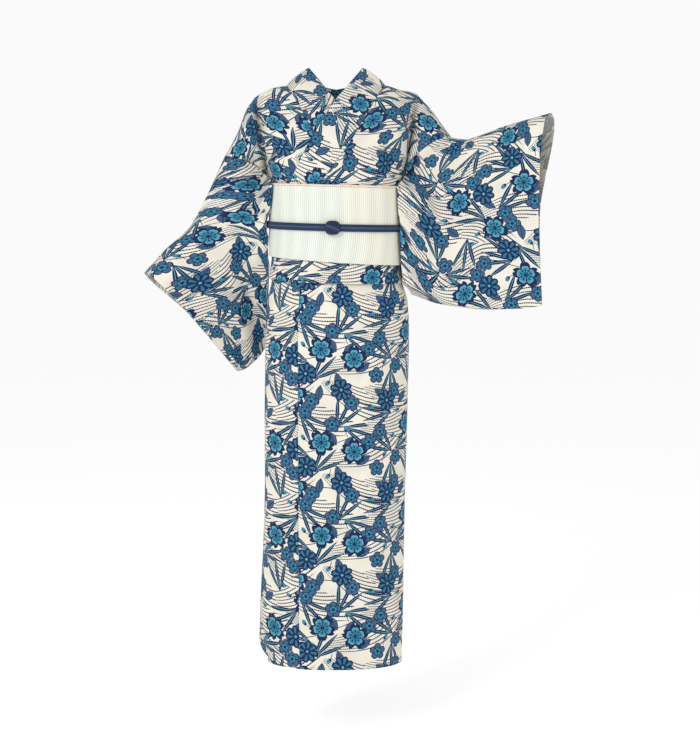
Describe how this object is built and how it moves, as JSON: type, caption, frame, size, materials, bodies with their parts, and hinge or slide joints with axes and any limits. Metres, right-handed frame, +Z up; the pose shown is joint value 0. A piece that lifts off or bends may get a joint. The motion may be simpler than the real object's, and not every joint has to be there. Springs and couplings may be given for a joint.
{
  "type": "summer kimono",
  "caption": "Unlined summer kimono in its worn form with sash and cord: open and hollow, one sleeve held out and raised, the other hanging from a lowered arm.",
  "frame": {"origin": "middle of the shoulder line, where the garment is carried", "axes": "+Z up, +X towards the raised sleeve (the wearer's left), front faces -Y"},
  "size_m": [0.9109, 0.3352, 1.3395],
  "materials": {
    "print": "matt printed summer weave",
    "sash": "softly shining open weave",
    "scarf": "soft matt weave",
    "cord": "silky braid"
  },
  "bodies": {
    "root": {"overlap_left_skirt": "print", "front_left_skirt": "print", "back_left_skirt": "print", "back_right_skirt": "print", "front_right_skirt": "print", "overlap_right_skirt": "print", "sleeve_left": "print", "sleeve_right": "print", "body_left": "print", "body_right": "print", "overlap_left_body": "print", "overlap_right_body": "print", "collar": "print", "sash": "sash", "sash_drum": "sash", "cord": "cord", "cord_knot": "cord", "scarf": "scarf"}
  },
  "joints": []
}
